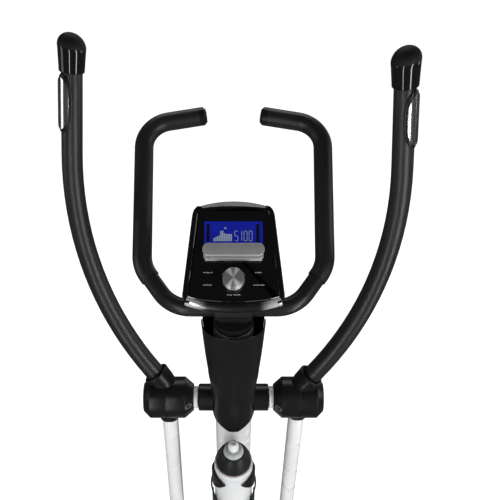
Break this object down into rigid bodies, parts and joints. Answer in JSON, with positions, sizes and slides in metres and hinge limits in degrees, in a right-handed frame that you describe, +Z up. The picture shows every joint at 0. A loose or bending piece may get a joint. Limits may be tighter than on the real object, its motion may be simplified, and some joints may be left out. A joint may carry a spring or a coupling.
{
  "type": "elliptical trainer",
  "caption": "Rear-drive elliptical trainer with swinging handles, a fixed handlebar, a console with display and knob, a bottle in its cage, footplates and an enclosed flywheel drive.",
  "frame": {"origin": "on the floor, at the middle of the outer box", "axes": "+Z up, +Y towards the front, away from the user, +X to the user's right"},
  "size_m": [0.5584, 1.2999, 1.6226],
  "materials": {
    "frame_white": "gloss white powder coat",
    "frame_black": "satin black powder coat",
    "satin_black_plastic": "satin moulded black",
    "gloss_black_plastic": "piano black",
    "foam": "matte closed-cell foam",
    "contact_chrome": "polished",
    "silver_trim": "metallic silver",
    "brushed_metal": "radially brushed",
    "screen": "blue backlit display",
    "board": "solder mask",
    "bright_steel": "zinc plated",
    "cast_iron": "turned and painted",
    "grey_plastic": "fine grained",
    "rubber": "matte",
    "bottle_plastic": "translucent frosted"
  },
  "bodies": {
    "root": {"base_frame": "frame_white", "bottle_cage": "satin_black_plastic", "circuit_board": "board", "console_case": "satin_black_plastic", "console_panel": "gloss_black_plastic", "console_trim": "silver_trim", "crank_bearings": "bright_steel", "dc_socket": "grey_plastic", "drive_belt": "rubber", "fixed_handlebar": "frame_black", "flywheel_axle": "bright_steel", "frame_bolts": "bright_steel", "handlebar_clamp": "frame_black", "handlebar_end_caps": "satin_black_plastic", "handlebar_grips": "foam", "lcd_screen": "screen", "mast": "frame_white", "mast_cover_front": "satin_black_plastic", "mast_cover_rear": "satin_black_plastic", "pivot_axle": "bright_steel", "pivot_collars": "satin_black_plastic", "rubber_feet": "rubber", "shell_left": "satin_black_plastic", "shell_right": "satin_black_plastic", "stabilizer_end_caps": "satin_black_plastic", "stabilizers": "frame_white", "tablet_rest": "silver_trim"},
    "crank": {"crank_axle": "bright_steel", "crank_pulley": "grey_plastic", "crank_discs": "gloss_black_plastic"},
    "flywheel": {"flywheel": "cast_iron", "flywheel_pulley": "bright_steel"},
    "brake": {"brake_bracket": "frame_black"},
    "knob_shaft": {"knob_shaft": "brushed_metal"},
    "knob": {"console_knob": "brushed_metal"},
    "bottle": {"bottle_body": "bottle_plastic", "bottle_cap": "satin_black_plastic"},
    "nozzle": {"bottle_nozzle": "bottle_plastic"},
    "wheel_left": {"transport_wheel_left": "rubber"},
    "wheel_right": {"transport_wheel_right": "rubber"},
    "right_arm": {"right_swing_arm": "frame_white", "right_handle_tube": "frame_black", "right_handle_grip": "foam", "right_handle_cap": "satin_black_plastic", "right_sensor_housing": "satin_black_plastic", "right_sensor_plates": "contact_chrome", "right_pivot_cover": "satin_black_plastic"},
    "right_pedal": {"right_pedal_tube": "frame_white", "right_joint_pin": "bright_steel", "right_footplate": "grey_plastic"},
    "left_arm": {"left_swing_arm": "frame_white", "left_handle_tube": "frame_black", "left_handle_grip": "foam", "left_handle_cap": "satin_black_plastic", "left_sensor_housing": "satin_black_plastic", "left_sensor_plates": "contact_chrome", "left_pivot_cover": "satin_black_plastic"},
    "left_pedal": {"left_pedal_tube": "frame_white", "left_joint_pin": "bright_steel", "left_footplate": "grey_plastic"}
  },
  "joints": [
    {"name": "crank_turn", "type": "hinge", "parent": "root", "child": "crank", "pos_m": [0, -0.365, 0.325], "axis": [1, 0, 0], "range_deg": [0, 104.92]},
    {"name": "right_arm_swing", "type": "hinge", "parent": "root", "child": "right_arm", "pos_m": [0, 0.25, 0.985], "axis": [1, 0, 0], "range_deg": [-17.06, 0]},
    {"name": "left_arm_swing", "type": "hinge", "parent": "root", "child": "left_arm", "pos_m": [0, 0.25, 0.985], "axis": [1, 0, 0], "range_deg": [0, 19.78]},
    {"name": "right_pedal_hinge", "type": "hinge", "parent": "right_arm", "child": "right_pedal", "pos_m": [0.1166, 0.49307, 0.32643], "axis": [1, 0, 0], "range_deg": [0, 24.37]},
    {"name": "left_pedal_hinge", "type": "hinge", "parent": "left_arm", "child": "left_pedal", "pos_m": [-0.1166, 0.39291, 0.2977], "axis": [1, 0, 0], "range_deg": [-23.81, 0]},
    {"name": "flywheel_spin", "type": "hinge", "parent": "root", "child": "flywheel", "pos_m": [0, -0.165, 0.262], "axis": [1, 0, 0], "continuous": true},
    {"name": "brake_swing", "type": "hinge", "parent": "root", "child": "brake", "pos_m": [0, -0.08208, 0.36082], "axis": [-1, 0, 0], "range_deg": [0, 8]},
    {"name": "knob_push", "type": "slide", "parent": "root", "child": "knob_shaft", "axis": [0, 0.6428, -0.766], "range_m": [0, 0.0012], "stiffness_N_per_m": 1500},
    {"name": "knob_turn", "type": "hinge", "parent": "knob_shaft", "child": "knob", "pos_m": [0, 0.19089, 1.27397], "axis": [0, -0.6428, 0.766], "continuous": true},
    {"name": "bottle_lift", "type": "slide", "parent": "root", "child": "bottle", "axis": [0, -0.2756, 0.9613], "range_m": [0, 0.12]},
    {"name": "nozzle_pull", "type": "slide", "parent": "bottle", "child": "nozzle", "axis": [0, -0.2756, 0.9613], "range_m": [0, 0.006]},
    {"name": "wheel_left_roll", "type": "hinge", "parent": "root", "child": "wheel_left", "pos_m": [-0.231, 0.623, 0.034], "axis": [1, 0, 0], "continuous": true},
    {"name": "wheel_right_roll", "type": "hinge", "parent": "root", "child": "wheel_right", "pos_m": [0.231, 0.623, 0.034], "axis": [1, 0, 0], "continuous": true}
  ],
  "couplings": [
    {"joint": "right_arm_swing", "follows": "crank_turn", "ratio": -0.16256},
    {"joint": "left_arm_swing", "follows": "crank_turn", "ratio": 0.18848},
    {"joint": "right_pedal_hinge", "follows": "crank_turn", "ratio": 0.23227},
    {"joint": "left_pedal_hinge", "follows": "crank_turn", "ratio": -0.22691},
    {"joint": "flywheel_spin", "follows": "crank_turn", "ratio": 5.4167}
  ]
}
